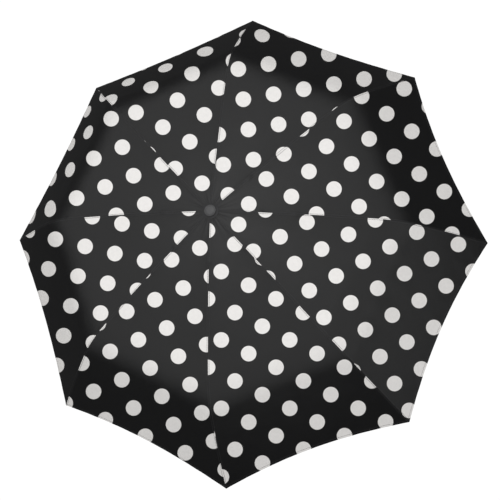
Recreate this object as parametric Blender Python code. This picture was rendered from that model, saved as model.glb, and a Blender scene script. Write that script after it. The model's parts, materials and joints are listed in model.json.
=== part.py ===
"""Compact folding umbrella, drawn open: handle, telescopic shaft, eight-rib frame and canopy.

The handle stands on z = 0 and the shaft runs up +Z. Each rib, stretcher and catch has its
origin on its own joint. Rib 1 points to +Y, and the ribs count clockwise seen from above.
"""
import math

import bmesh
import bpy
from mathutils import Vector

for old in list(bpy.data.objects):
    bpy.data.objects.remove(old)

MM = 0.001
RIBS = 8
RIB_STEP = 2 * math.pi / RIBS
HALF_GORE = RIB_STEP / 2

# shaft, from the handle's foot upwards
HANDLE_RADIUS = 16 * MM
END_CAP_TOP = 7.7 * MM
GRIP_FOOT = 8 * MM
GRIP_TOP = 69.7 * MM
COLLAR_FOOT = 70 * MM
COLLAR_TOP = 80 * MM
PIN_HEIGHT = 45 * MM
PIN_RADIUS = 1 * MM
LOWER_TUBE = (3.0 * MM, 3.6 * MM)  # inner and outer radius
MID_TUBE = (4.0 * MM, 4.7 * MM)
UPPER_TUBE = (5.1 * MM, 5.8 * MM)
LOWER_TUBE_FOOT = 12.3 * MM
MID_TUBE_FOOT = 203.5 * MM
UPPER_TUBE_FOOT = 327 * MM
TUBE_LAP = 25 * MM  # how far one tube stays inside the next when drawn out
BUSH_HEIGHT = 5 * MM
BUSH_WALL = 1.3 * MM
CATCH_RISE = 12 * MM  # height of a tube catch above the foot of the tube that it locks
CATCH_RADIUS = 1.1 * MM
FIT = 0.3 * MM  # gap between two neighbouring pieces

# crown and runner
CROWN_HEIGHT = 545 * MM  # height of the rib hinges on the crown
CROWN_HINGE = 8 * MM  # their distance from the shaft's axis
RUNNER_DROP = 85 * MM  # stretcher hinges below the rib hinges, open
RUNNER_HINGE = 11 * MM
RUNNER_TAIL = 22 * MM
HUB_HALF = 2.2 * MM
SLOT_HALF = 1.1 * MM
WIRE_RADIUS = 0.4 * MM
CAP_RADIUS = 10.3 * MM
CAP_FOOT = 5.3 * MM
CAP_TOP = 8.4 * MM
STUD_RADIUS = 2.4 * MM
STUD_TOP = 7.2 * MM

# canopy line over a rib: its slope falls from the apex to the tip between these marks
SLOPE_MARKS = ((0.0, 7.0), (0.285, 15.0), (0.37, 46.0), (0.5636, 51.3))  # arc length m, slope degrees
ARC_LENGTH = SLOPE_MARKS[-1][0]
CANOPY_HOLE = 4 * MM
CANOPY_THICKNESS = 0.6 * MM
HEM_RISE = 24 * MM  # how far the hem is hollowed out between two tips
PANEL_SAG = 5 * MM  # how far a panel hangs inside the chord between its ribs
RIB_DEPTH = 3.6 * MM  # rib centre line below the canopy line

# ribs and stretchers
JOINT_A = 0.152  # arc length of the joint between inner and middle rib
JOINT_B = 0.298  # arc length of the joint between middle and outer rib
PIVOT_LIFT = 1.3 * MM  # pivots stand this far off the rib centre line
RIB_HALF_WIDTH = 1.5 * MM
RIB_HALF_HEIGHT = 1.0 * MM
RIB_WALL = 0.5 * MM
LUG_RADIUS = 1.2 * MM
LUG_TAIL = 6 * MM
TONGUE_HALF = 0.6 * MM
CHEEK = (0.9 * MM, 1.45 * MM)
EYE_RADIUS = 1.5 * MM
EYE_BORE = 0.75 * MM
EYE_HALF = 0.7 * MM
HUB_REACH = 3.4 * MM  # from a crown or runner hinge to the start of the rib's full width
PIVOT_REACH = 1.7 * MM  # from a rib pivot to the start of the rib's full width
STRETCHER_PIVOT = 83.3 * MM  # along the inner rib from the crown hinge
ARM = (1.8 * MM, 2.3 * MM)
ARM_HALF_HEIGHT = 1.1 * MM
OUTER_WIRE = 1.0 * MM
TIP_RADIUS = 2.3 * MM
STRAP_SIZE = (70 * MM, 12 * MM, 1 * MM)


def finish(name, colour, roughness, metallic):
    """A plain Principled material."""
    material = bpy.data.materials.new(name)
    material.use_nodes = True
    shader = material.node_tree.nodes["Principled BSDF"]
    shader.inputs["Base Color"].default_value = (*colour, 1)
    shader.inputs["Roughness"].default_value = roughness
    shader.inputs["Metallic"].default_value = metallic
    return material


BLACK_CLOTH = finish("black_cloth", (0.022, 0.022, 0.024), 0.8, 0)
SOFT_BLACK = finish("soft_black_plastic", (0.02, 0.02, 0.021), 0.55, 0)
DARK_PLASTIC = finish("dark_plastic", (0.04, 0.04, 0.043), 0.4, 0)
BRIGHT_STEEL = finish("bright_steel", (0.62, 0.62, 0.63), 0.25, 1)
DARK_STEEL = finish("dark_steel", (0.16, 0.16, 0.17), 0.35, 1)


def canopy_line(arc):
    """Radius, height above the apex and slope of the canopy line over a rib."""
    steps = 200
    radius = height = 0.0
    for i in range(steps):
        middle = slope_at((i + 0.5) * arc / steps)
        radius += math.cos(middle) * arc / steps
        height -= math.sin(middle) * arc / steps
    return radius, height, slope_at(arc)


def slope_at(arc):
    """Slope of the canopy line in radians, straight between the marks."""
    for (a0, s0), (a1, s1) in zip(SLOPE_MARKS, SLOPE_MARKS[1:]):
        if arc <= a1:
            break
    share = (arc - a0) / (a1 - a0)
    return math.radians(s0 + (s1 - s0) * share)


def rib_point(arc, lift=0.0):
    """A point on the rib centre line, or lifted off it towards the canopy."""
    radius, height, slope = canopy_line(arc)
    depth = RIB_DEPTH - lift
    return Vector((radius - depth * math.sin(slope), height - depth * math.cos(slope)))


def hinge_arc():
    """Arc length at which the rib centre line reaches the crown hinge's radius."""
    arc = CROWN_HINGE
    for _ in range(20):
        arc += CROWN_HINGE - rib_point(arc).x
    return arc


APEX_HEIGHT = CROWN_HEIGHT - rib_point(hinge_arc()).y
CROWN = Vector((CROWN_HINGE, CROWN_HEIGHT))


def in_frame(point):
    """A point in the rib plane: distance from the axis, height above the handle's foot."""
    return Vector((point.x, APEX_HEIGHT + point.y))


PIVOT_A = in_frame(rib_point(JOINT_A, PIVOT_LIFT))
PIVOT_B = in_frame(rib_point(JOINT_B, -PIVOT_LIFT))
LINE_A = in_frame(rib_point(JOINT_A))
LINE_B = in_frame(rib_point(JOINT_B))
RUNNER = Vector((RUNNER_HINGE, CROWN_HEIGHT - RUNNER_DROP))
INNER_WAY = (LINE_A - CROWN).normalized()
MIDDLE_WAY = (LINE_B - LINE_A).normalized()
STRETCHER_TOP = CROWN + INNER_WAY * STRETCHER_PIVOT
STRETCHER_WAY = (STRETCHER_TOP - RUNNER).normalized()


def closed(bm, name):
    """Turn a bmesh into a mesh with its faces outwards."""
    bmesh.ops.recalc_face_normals(bm, faces=bm.faces)
    mesh = bpy.data.meshes.new(name)
    bm.to_mesh(mesh)
    bm.free()
    return mesh


def skin(bm, rings, caps):
    """Join rings of vertices of equal length; the caps close the first and the last."""
    count = len(rings[0])
    for one, two in zip(rings, rings[1:]):
        for i in range(count):
            j = (i + 1) % count
            bm.faces.new((one[i], one[j], two[j], two[i]))
    if caps:
        bm.faces.new(rings[0])
        bm.faces.new(rings[-1])


def turned(name, profile, segments=28):
    """A solid of revolution from a closed profile of radius and height."""
    bm = bmesh.new()
    rings = []
    for radius, height in profile:
        if radius == 0:
            rings.append([bm.verts.new((0, 0, height))])
            continue
        angles = (2 * math.pi * i / segments for i in range(segments))
        rings.append([bm.verts.new((radius * math.cos(a), radius * math.sin(a), height)) for a in angles])
    for one, two in zip(rings, rings[1:] + rings[:1]):
        for i in range(segments):
            j = (i + 1) % segments
            if len(one) == 1 and len(two) == 1:
                break
            if len(one) == 1:
                bm.faces.new((one[0], two[j], two[i]))
            elif len(two) == 1:
                bm.faces.new((one[i], one[j], two[0]))
            else:
                bm.faces.new((one[i], one[j], two[j], two[i]))
    return closed(bm, name)


def plate(name, outline, inner, outer):
    """A flat plate with its outline in the rib plane, from one tangential distance to another."""
    bm = bmesh.new()
    rings = [[bm.verts.new((p[0], y, p[1])) for p in outline] for y in (inner, outer)]
    skin(bm, rings, caps=True)
    return closed(bm, name)


def bar(name, start, end, section):
    """A straight bar in the rib plane; the section is tangential distance and height."""
    bm = bmesh.new()
    way = (end - start).normalized()
    up = Vector((-way.y, way.x))
    rings = []
    for point in (start, end):
        ring = [(point.x + up.x * h, y, point.y + up.y * h) for y, h in section]
        rings.append([bm.verts.new(p) for p in ring])
    skin(bm, rings, caps=True)
    return closed(bm, name)


def round_bar(name, points, radii, sides=8):
    """A bent round bar in the rib plane with a radius of its own at each point."""
    bm = bmesh.new()
    rings = []
    for i, (point, radius) in enumerate(zip(points, radii)):
        way = (points[min(i + 1, len(points) - 1)] - points[max(i - 1, 0)]).normalized()
        up = Vector((-way.y, way.x))
        ring = []
        for k in range(sides):
            angle = 2 * math.pi * k / sides
            side, rise = radius * math.cos(angle), radius * math.sin(angle)
            ring.append(bm.verts.new((point.x + up.x * rise, side, point.y + up.y * rise)))
        rings.append(ring)
    skin(bm, rings, caps=True)
    return closed(bm, name)


def disc_outline(centre, radius, points=12):
    """Points round a circle in the rib plane."""
    angles = (2 * math.pi * (i + 0.5) / points for i in range(points))
    return [(centre.x + radius * math.cos(a), centre.y + radius * math.sin(a)) for a in angles]


def arm_outline(start, end, start_half, end_half):
    """A long rectangle or taper between two points."""
    way = (end - start).normalized()
    up = Vector((-way.y, way.x))
    corners = (start - up * start_half, end - up * end_half, end + up * end_half, start + up * start_half)
    return [(c.x, c.y) for c in corners]


def as_object(mesh, name="blank"):
    """Wrap a mesh in an object of the scene."""
    thing = bpy.data.objects.new(name, mesh)
    bpy.context.collection.objects.link(thing)
    return thing


def worked(mesh, tools, operation):
    """Join tools to a mesh, or cut them from it, one at a time."""
    body = as_object(mesh)
    for tool_mesh in tools:
        tool = as_object(tool_mesh)
        step = body.modifiers.new("step", "BOOLEAN")
        step.operation = operation
        step.object = tool
        graph = bpy.context.evaluated_depsgraph_get()
        result = bpy.data.meshes.new_from_object(body.evaluated_get(graph))
        body.modifiers.clear()
        body.data = result
        bpy.data.objects.remove(tool)
    result = body.data
    bpy.data.objects.remove(body)
    return result


def joined(mesh, *others):
    """One body out of several that overlap."""
    return worked(mesh, others, "UNION")


def cut(mesh, *tools):
    """A body with the tools' shapes taken away."""
    return worked(mesh, tools, "DIFFERENCE")


def moved(mesh, x=0.0, y=0.0, z=0.0):
    """Shift a mesh."""
    for vertex in mesh.vertices:
        vertex.co += Vector((x, y, z))
    return mesh


def cross_pin(name, radius, start, end, height, axis):
    """A round pin along X or Y at a height."""
    mesh = turned(name, [(0, start), (radius, start), (radius, end), (0, end)], 20)
    for vertex in mesh.vertices:
        x, y, z = vertex.co
        vertex.co = (z, x, y + height) if axis == "X" else (y, z, x + height)
    return mesh


def block(name, low, high):
    """A rectangular block between two corners."""
    bm = bmesh.new()
    rings = []
    for x in (low[0], high[0]):
        corners = ((low[1], low[2]), (high[1], low[2]), (high[1], high[2]), (low[1], high[2]))
        rings.append([bm.verts.new((x, y, z)) for y, z in corners])
    skin(bm, rings, caps=True)
    return closed(bm, name)


def piece(name, mesh, material, origin=(0, 0, 0), azimuth=0.0, smooth=True):
    """Place a sub-part; its mesh is drawn round its own origin."""
    mesh.name = name
    if not mesh.materials:
        mesh.materials.append(material)
    if smooth:
        mesh.shade_smooth()
        mesh.set_sharp_from_angle(angle=math.radians(35))
    thing = as_object(mesh, name)
    thing.location = origin
    thing.rotation_euler = (0, 0, azimuth)
    return thing


def azimuth_of(number):
    """Direction of a rib; 1 is +Y, and the count runs clockwise seen from above."""
    return math.pi / 2 - RIB_STEP * (number - 1)


def around(name, mesh, material, pivot):
    """Eight copies of a rib-plane piece, each turned to its rib with its origin on its pivot."""
    moved(mesh, x=-pivot.x, z=-pivot.y)
    for number in range(1, RIBS + 1):
        azimuth = azimuth_of(number)
        origin = (pivot.x * math.cos(azimuth), pivot.x * math.sin(azimuth), pivot.y)
        piece(f"{name}_{number}", mesh.copy(), material, origin, azimuth)


def tube(radii, foot, top):
    """A plain tube."""
    inner, outer = radii
    return turned("tube", [(inner, foot), (outer, foot), (outer, top), (inner, top)])


def build_handle():
    """Grip, end cap with its strap hole, metal collar and cross pin."""
    bore = LOWER_TUBE[1] + FIT
    edge = HANDLE_RADIUS - 1.2 * MM
    foot = HANDLE_RADIUS - 3 * MM
    cap = turned("end_cap", [(0, 0), (foot, 0), (edge - 0.6 * MM, 0.7 * MM), (edge, 2.4 * MM),
                             (edge, END_CAP_TOP), (0, END_CAP_TOP)], 36)
    strap_hole = cross_pin("strap_hole", 1.5 * MM, -HANDLE_RADIUS, HANDLE_RADIUS, 4 * MM, "Y")
    piece("handle_end_cap", cut(cap, moved(strap_hole, x=10 * MM)), DARK_PLASTIC)
    span = GRIP_TOP - GRIP_FOOT
    sides = []
    for i in range(11):
        share = i / 10
        swell = math.sin(math.pi * share) ** 0.8
        sides.append((HANDLE_RADIUS - 1.6 * MM * share + 1.1 * MM * swell, GRIP_FOOT + span * share))
    grip = turned("grip", [(0, GRIP_FOOT), *sides, (bore, GRIP_TOP), (bore, LOWER_TUBE_FOOT - FIT),
                           (0, LOWER_TUBE_FOOT - FIT)], 36)
    reach = HANDLE_RADIUS - 0.8 * MM
    pin_hole = cross_pin("pin_hole", PIN_RADIUS + FIT, -30 * MM, 30 * MM, PIN_HEIGHT, "Y")
    piece("handle_grip", cut(grip, pin_hole), SOFT_BLACK)
    piece("handle_pin", cross_pin("pin", PIN_RADIUS, -reach, reach, PIN_HEIGHT, "Y"), BRIGHT_STEEL)
    collar_rim = HANDLE_RADIUS - 1.9 * MM
    collar = turned("collar", [(bore, COLLAR_FOOT), (collar_rim, COLLAR_FOOT),
                               (collar_rim, COLLAR_FOOT + 4 * MM), (10 * MM, COLLAR_TOP - 1 * MM),
                               (9 * MM, COLLAR_TOP), (bore, COLLAR_TOP)], 36)
    piece("handle_collar", collar, BRIGHT_STEEL)


def catch_hole(height):
    """The round hole in one wall that a tube catch works through."""
    return cross_pin("hole", CATCH_RADIUS + 0.4 * MM, 0, 9 * MM, height, "X")


def build_shaft():
    """Three tubes, the bushes round their feet and the sprung catches between them."""
    low_catch = MID_TUBE_FOOT + CATCH_RISE
    high_catch = UPPER_TUBE_FOOT + CATCH_RISE
    pin_hole = cross_pin("pin_hole", PIN_RADIUS + FIT, -9 * MM, 9 * MM, PIN_HEIGHT, "Y")
    lower = tube(LOWER_TUBE, LOWER_TUBE_FOOT, MID_TUBE_FOOT + TUBE_LAP)
    piece("lower_tube", cut(lower, pin_hole, catch_hole(low_catch)), BRIGHT_STEEL)
    mid = tube(MID_TUBE, MID_TUBE_FOOT, UPPER_TUBE_FOOT + TUBE_LAP)
    piece("mid_tube", cut(mid, catch_hole(low_catch), catch_hole(high_catch)), BRIGHT_STEEL)
    upper = tube(UPPER_TUBE, UPPER_TUBE_FOOT, CROWN_HEIGHT - HUB_HALF - FIT)
    slot_top = CROWN_HEIGHT - RUNNER_DROP - RUNNER_TAIL
    slot = block("slot", (0, -1.4 * MM, slot_top - 6 * MM), (9 * MM, 1.4 * MM, slot_top))
    piece("upper_tube", cut(upper, catch_hole(high_catch), slot), BRIGHT_STEEL)
    for name, radii, foot in (("mid", MID_TUBE, MID_TUBE_FOOT), ("upper", UPPER_TUBE, UPPER_TUBE_FOOT)):
        inner = radii[1] + FIT
        rim = inner + BUSH_WALL
        top = foot + BUSH_HEIGHT
        edge = 0.5 * MM
        bush = turned("bush", [(inner, foot), (rim - edge, foot), (rim, foot + edge), (rim, top - edge),
                               (rim - edge, top), (inner, top)])
        piece(f"{name}_tube_bush", bush, DARK_PLASTIC)
    for name, start, end, height in (("lower_catch", 1.6 * MM, 3.8 * MM, low_catch),
                                     ("mid_catch", 3.85 * MM, 4.9 * MM, high_catch)):
        button = cross_pin(name, CATCH_RADIUS, start, end, 0, "X")
        piece(name, button, BRIGHT_STEEL, origin=(0, 0, height))
    wedge = block("wedge", (4.95 * MM, -1 * MM, -4.9 * MM), (6.0 * MM, 1 * MM, -0.5 * MM))
    piece("runner_catch", wedge, BRIGHT_STEEL, origin=(0, 0, slot_top))


def slots(inner, height):
    """Eight upright slots, open at the rim, for rib or stretcher eyes."""
    cutters = []
    for number in range(1, RIBS + 1):
        low = (inner, -SLOT_HALF, height - 9 * MM)
        high = (30 * MM, SLOT_HALF, height + 9 * MM)
        cutter = block("slot", low, high)
        azimuth = azimuth_of(number)
        for vertex in cutter.vertices:
            x, y, z = vertex.co
            vertex.co = (x * math.cos(azimuth) - y * math.sin(azimuth),
                         x * math.sin(azimuth) + y * math.cos(azimuth), z)
        cutters.append(cutter)
    return cutters


def hinge_wire(hinge, height):
    """The ring of wire that the eyes hang on."""
    angles = [2 * math.pi * i / 6 for i in range(6)]
    return turned("wire", [(hinge + WIRE_RADIUS * math.cos(a), height + WIRE_RADIUS * math.sin(a))
                           for a in angles], 40)


def build_crown():
    """Notched crown on the upper tube, its hinge wire and the cap over the canopy's centre."""
    z = CROWN_HEIGHT
    rim = CROWN_HINGE + 1.2 * MM
    groove = CROWN_HINGE - 0.8 * MM
    spigot = UPPER_TUBE[0] - FIT
    profile = [(0, z - 14 * MM), (spigot, z - 14 * MM), (spigot, z - HUB_HALF), (rim, z - HUB_HALF),
               (rim, z - 0.8 * MM), (groove, z - 0.8 * MM), (groove, z + 0.8 * MM), (rim, z + 0.8 * MM),
               (rim, z + HUB_HALF), (STUD_RADIUS, z + HUB_HALF), (STUD_RADIUS, z + STUD_TOP),
               (0, z + STUD_TOP)]
    crown = turned("crown", profile, 32)
    piece("crown", cut(crown, *slots(CROWN_HINGE - EYE_RADIUS - FIT, z)), DARK_PLASTIC)
    piece("crown_wire", hinge_wire(CROWN_HINGE, z), BRIGHT_STEEL)
    foot, top = z + CAP_FOOT, z + CAP_TOP
    bore = STUD_RADIUS + FIT
    cap = turned("cap", [(bore, foot), (CAP_RADIUS - 0.6 * MM, foot), (CAP_RADIUS, foot + 0.6 * MM),
                         (CAP_RADIUS, foot + 1.6 * MM), (CAP_RADIUS - 0.9 * MM, top - 0.5 * MM),
                         (CAP_RADIUS - 2.6 * MM, top), (0, top), (0, z + STUD_TOP + FIT),
                         (bore, z + STUD_TOP + FIT)], 40)
    piece("top_cap", cap, DARK_PLASTIC)


def build_runner():
    """Notched runner on the upper tube, its hinge wire and its finger sleeve."""
    z = CROWN_HEIGHT - RUNNER_DROP
    bore = UPPER_TUBE[1] + 0.35 * MM
    body = bore + 1.45 * MM
    rim = RUNNER_HINGE + 2 * MM
    groove = RUNNER_HINGE - 0.8 * MM
    profile = [(bore, z - RUNNER_TAIL), (body, z - RUNNER_TAIL), (body, z - 5 * MM), (rim, z - HUB_HALF),
               (rim, z - 0.8 * MM), (groove, z - 0.8 * MM), (groove, z + 0.8 * MM), (rim, z + 0.8 * MM),
               (rim, z + HUB_HALF), (bore, z + HUB_HALF)]
    runner = turned("runner", profile, 32)
    piece("runner", cut(runner, *slots(RUNNER_HINGE - EYE_RADIUS - FIT, z)), DARK_PLASTIC)
    piece("runner_wire", hinge_wire(RUNNER_HINGE, z), BRIGHT_STEEL)
    inner = body + FIT
    foot, top = z - RUNNER_TAIL + 0.3 * MM, z - 6 * MM
    sleeve = turned("sleeve", [(inner, foot), (inner + 2.6 * MM, foot), (inner + 3 * MM, foot + 1 * MM),
                               (inner + 1.5 * MM, foot + 4 * MM), (inner + 1.5 * MM, top - 2 * MM),
                               (inner + 1 * MM, top), (inner, top)], 36)
    piece("runner_sleeve", sleeve, SOFT_BLACK)


def channel(half_width):
    """A folded-steel channel, open underneath: tangential distance and height."""
    h, w, t = RIB_HALF_HEIGHT, half_width, RIB_WALL
    return [(-w, -h), (-w, h), (w, h), (w, -h), (w - t, -h), (w - t, h - t), (-w + t, h - t), (-w + t, -h)]


def eye_plates(centre, way, length):
    """A flat eye on a short neck, and the bore for the hinge wire."""
    ring = plate("eye", disc_outline(centre, EYE_RADIUS), -EYE_HALF, EYE_HALF)
    neck = arm_outline(centre, centre + way * length, RIB_HALF_HEIGHT - 0.1 * MM, RIB_HALF_HEIGHT - 0.1 * MM)
    stem = plate("neck", neck, -EYE_HALF + 0.05 * MM, EYE_HALF - 0.05 * MM)
    bore = plate("bore", disc_outline(centre, EYE_BORE), -5 * MM, 5 * MM)
    return ring, stem, bore


def lug_plates(pivot, line, way, near, far):
    """A round lug at a pivot and the plate that carries it on the rib's centre line."""
    low, high = sorted((near, far))
    inset = 0.02 * MM
    lug = plate("lug", disc_outline(pivot, LUG_RADIUS), low + inset, high - inset)
    half = RIB_HALF_HEIGHT - 0.1 * MM
    tail = plate("tail", arm_outline(line - way * LUG_RADIUS / 2, line + way * LUG_TAIL, half, half), low, high)
    return lug, tail


def cheeks(pivot, line, way):
    """The two cheeks of a fork."""
    return lug_plates(pivot, line, way, *CHEEK) + lug_plates(pivot, line, way, -CHEEK[0], -CHEEK[1])


def tongue(pivot, line, way):
    """The flat tongue that turns between two cheeks."""
    return lug_plates(pivot, line, way, -TONGUE_HALF, TONGUE_HALF)


def build_inner_ribs():
    """Straight channels from the crown hinge to joint A."""
    start = CROWN + INNER_WAY * HUB_REACH
    end = LINE_A - INNER_WAY * PIVOT_REACH
    ring, stem, bore = eye_plates(CROWN, INNER_WAY, HUB_REACH + 4 * MM)
    rib = bar("inner_rib", start, end, channel(RIB_HALF_WIDTH))
    rib = joined(rib, stem, ring, *cheeks(PIVOT_A, LINE_A, -INNER_WAY))
    around("inner_rib", cut(rib, bore), DARK_STEEL, CROWN)


def build_middle_ribs():
    """Straight channels from joint A to joint B."""
    start = LINE_A + MIDDLE_WAY * PIVOT_REACH
    end = LINE_B - MIDDLE_WAY * PIVOT_REACH
    rib = bar("middle_rib", start, end, channel(RIB_HALF_WIDTH))
    ends = tongue(PIVOT_A, LINE_A, MIDDLE_WAY) + cheeks(PIVOT_B, LINE_B, -MIDDLE_WAY)
    rib = joined(rib, *ends)
    around("middle_rib", rib, DARK_STEEL, PIVOT_A)


def build_outer_ribs():
    """Bent round wires from joint B to the tips, each with its ball."""
    first = JOINT_B + 2.2 * MM
    last = ARC_LENGTH - 2 * TIP_RADIUS
    stations = 11
    points = [in_frame(rib_point(first + (last - first) * i / stations)) for i in range(stations + 1)]
    radii = [OUTER_WIRE] * len(points)
    tip_way = (points[-1] - points[-2]).normalized()
    turns = 5
    neck = math.radians(25)
    foot = points[-1]
    for i in range(turns + 1):
        angle = neck + (math.pi - 2 * neck) * i / turns
        along = TIP_RADIUS * (math.cos(neck) - math.cos(angle))
        points.append(foot + tip_way * (along + 0.2 * MM))
        radii.append(TIP_RADIUS * math.sin(angle))
    wire = round_bar("outer_rib", points, radii)
    start_way = (in_frame(rib_point(JOINT_B + LUG_TAIL)) - LINE_B).normalized()
    around("outer_rib", joined(wire, *tongue(PIVOT_B, LINE_B, start_way)), DARK_STEEL, PIVOT_B)


def build_stretchers():
    """Forked stays from the runner's hinges to the sides of the inner ribs."""
    ring, stem, bore = eye_plates(RUNNER, STRETCHER_WAY, HUB_REACH + 4 * MM)
    fork = RUNNER + STRETCHER_WAY * HUB_REACH
    bridge = plate("bridge", arm_outline(fork, fork + STRETCHER_WAY * 4 * MM, ARM_HALF_HEIGHT,
                                         ARM_HALF_HEIGHT), -ARM[1], ARM[1])
    arms = []
    for side in (-1, 1):
        near, far = sorted((side * ARM[0], side * ARM[1]))
        outline = arm_outline(fork + STRETCHER_WAY * 1 * MM, STRETCHER_TOP, ARM_HALF_HEIGHT - 0.05 * MM,
                              ARM_HALF_HEIGHT - 0.05 * MM)
        inset = 0.02 * MM
        arms.append(plate("arm", outline, near + inset, far - inset))
        arms.append(plate("eye", disc_outline(STRETCHER_TOP, EYE_RADIUS), near + inset / 2, far - inset / 2))
    stay = joined(bridge, stem, ring, *arms)
    around("stretcher", cut(stay, bore), DARK_STEEL, RUNNER)


def canopy_point(arc, across, depth):
    """A point of a gore whose middle lies on +X; across runs from -1 to 1 between its ribs."""
    hollow = 1 - across * across
    arc = arc * (1 - hollow * HEM_RISE / ARC_LENGTH * (arc / ARC_LENGTH) ** 3)
    radius, height, slope = canopy_line(arc)
    sag = depth + PANEL_SAG * hollow * math.sin(math.pi * arc / ARC_LENGTH)
    chord = radius * math.cos(HALF_GORE)
    side = across * (radius * math.sin(HALF_GORE) - FIT)
    return Vector((chord - sag * math.sin(slope), side, APEX_HEIGHT + height - sag * math.cos(slope)))


def gore_mesh():
    """One thin closed panel over its ribs, hollowed at the hem."""
    rows, columns = 14, 6
    bm = bmesh.new()
    sheets = []
    for depth in (0.0, CANOPY_THICKNESS):
        sheet = []
        for i in range(rows + 1):
            arc = CANOPY_HOLE + (ARC_LENGTH - CANOPY_HOLE) * i / rows
            row = [canopy_point(arc, 2 * j / columns - 1, depth) for j in range(columns + 1)]
            sheet.append([bm.verts.new(p) for p in row])
        sheets.append(sheet)
    for sheet in sheets:
        for i in range(rows):
            for j in range(columns):
                bm.faces.new((sheet[i][j], sheet[i + 1][j], sheet[i + 1][j + 1], sheet[i][j + 1]))
    edge = [(i, 0) for i in range(rows)] + [(rows, j) for j in range(columns)]
    edge += [(i, columns) for i in range(rows, 0, -1)] + [(0, j) for j in range(columns, 0, -1)]
    for (i0, j0), (i1, j1) in zip(edge, edge[1:] + edge[:1]):
        top, under = sheets
        bm.faces.new((top[i0][j0], top[i1][j1], under[i1][j1], under[i0][j0]))
    return closed(bm, "gore")


def build_canopy():
    """Eight gores; gore 1 lies between ribs 1 and 2."""
    mesh = gore_mesh()
    for number in range(1, RIBS + 1):
        piece(f"gore_{number}", mesh.copy(), BLACK_CLOTH, azimuth=azimuth_of(number) - HALF_GORE)


def build_closing_strap():
    """The band that ties the folded canopy, lying beside outer rib 6 under the hem."""
    length, width, thickness = STRAP_SIZE
    end_arc = ARC_LENGTH - 22 * MM
    top = in_frame(rib_point(end_arc - length))
    end = in_frame(rib_point(end_arc))
    near = 5 * MM
    section = ((near, -8 * MM), (near + width, -8 * MM), (near + width, -8 * MM + thickness),
               (near, -8 * MM + thickness))
    mesh = moved(bar("strap", top, end, section), x=-PIVOT_B.x, z=-PIVOT_B.y)
    azimuth = azimuth_of(6)
    origin = (PIVOT_B.x * math.cos(azimuth), PIVOT_B.x * math.sin(azimuth), PIVOT_B.y)
    piece("closing_strap", mesh, BLACK_CLOTH, origin, azimuth)


build_handle()
build_shaft()
build_crown()
build_runner()
build_inner_ribs()
build_middle_ribs()
build_outer_ribs()
build_stretchers()
build_canopy()
build_closing_strap()
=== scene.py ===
"""Looks for the compact folding umbrella: printed canopy, rib hardware, shaft and handle."""

import json
import math

import bmesh
import bpy
import numpy as np
from mathutils import Matrix, Vector


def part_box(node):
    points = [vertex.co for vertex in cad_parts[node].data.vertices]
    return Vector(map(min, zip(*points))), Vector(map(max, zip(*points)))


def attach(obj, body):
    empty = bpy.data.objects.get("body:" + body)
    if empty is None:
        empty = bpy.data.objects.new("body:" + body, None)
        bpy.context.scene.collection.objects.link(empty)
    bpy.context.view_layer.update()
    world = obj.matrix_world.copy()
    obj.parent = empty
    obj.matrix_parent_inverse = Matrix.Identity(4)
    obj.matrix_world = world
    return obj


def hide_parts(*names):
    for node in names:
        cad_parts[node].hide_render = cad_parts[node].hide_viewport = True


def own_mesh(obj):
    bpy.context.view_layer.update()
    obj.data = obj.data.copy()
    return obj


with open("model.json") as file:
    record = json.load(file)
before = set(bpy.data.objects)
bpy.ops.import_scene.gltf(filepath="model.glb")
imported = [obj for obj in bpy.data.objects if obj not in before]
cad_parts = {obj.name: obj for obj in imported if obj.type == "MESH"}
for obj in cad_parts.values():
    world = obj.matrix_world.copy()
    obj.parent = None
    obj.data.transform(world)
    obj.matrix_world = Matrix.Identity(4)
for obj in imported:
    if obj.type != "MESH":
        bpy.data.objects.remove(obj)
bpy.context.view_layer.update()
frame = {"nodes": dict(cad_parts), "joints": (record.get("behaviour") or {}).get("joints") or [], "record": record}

MM = 0.001
RIBS = 8
RIB_STEP = 2 * math.pi / RIBS
HALF_GORE = RIB_STEP / 2

# canopy line over a rib, as the frame was designed: arc length in metres, slope in degrees
SLOPE_MARKS = ((0.0, 7.0), (0.285, 15.0), (0.37, 46.0), (0.5636, 51.3))
ARC_LENGTH = SLOPE_MARKS[-1][0]
JOINT_A = 0.152
JOINT_B = 0.298
CANOPY_HOLE = 4 * MM  # arc length at which the plain solid of the canopy begins
CLOTH_START = 10.5 * MM  # the sewn canopy begins under the rosette
HEM_RISE = 24 * MM  # how far the hem is hollowed between two tips
PANEL_SAG = 5 * MM
JOINT_SWELL = 0.7 * MM  # rise of the cloth over a rib joint
SHOULDER = 0.35  # arc length at which the dome turns down
CROWN_CREASE = 0.35 * MM
SHOULDER_CREASE = 0.3 * MM
TIP_CREASE = 0.9 * MM

CLOTH_THICKNESS = 0.35 * MM
HEM_WIDTH = 7 * MM
HEM_FOLD = 0.35 * MM
HEM_STITCH = HEM_WIDTH * 0.8  # distance of the stitch row from the hem
SEAM_WIDTH = 2 * MM
SEAM_FOLD = 0.3 * MM
STITCH = 3 * MM
ROW_STEP = 5 * MM
COLUMNS = 20

# frame hardware, as the frame was designed
OUTER_RIB_DEPTH = 3.6 * MM  # middle of the outer rib below the canopy line
FORK_REACH = 83.3 * MM  # from the crown's wire to the stretcher's pivot along the inner rib
JOINT_DROP = 1.3 * MM  # the fork's pivot lies on a line that passes this far below the rib joint
RIVET_DOME = 0.22 * MM
TIE_DEPTH = 2.8 * MM  # middle of a thread tie below the canopy line
SLEEVE_START = 19 * MM  # from the end of the canopy line back to the tip's sleeve
STRAP_RIB = 6
STRAP_LENGTH = 70 * MM
STRAP_WIDTH = 12 * MM
STRAP_SIDE = 5 * MM  # from the rib to the near edge of the strap
STRAP_DROP = 8 * MM  # from the outer rib down to the strap
GRIP_RADIUS = 16 * MM
GRIP_BORE = 3.9 * MM
PIN_HEIGHT = 45 * MM
COLLAR_BORE = 3.85 * MM
CAP_BORE = 2.7 * MM

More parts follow.
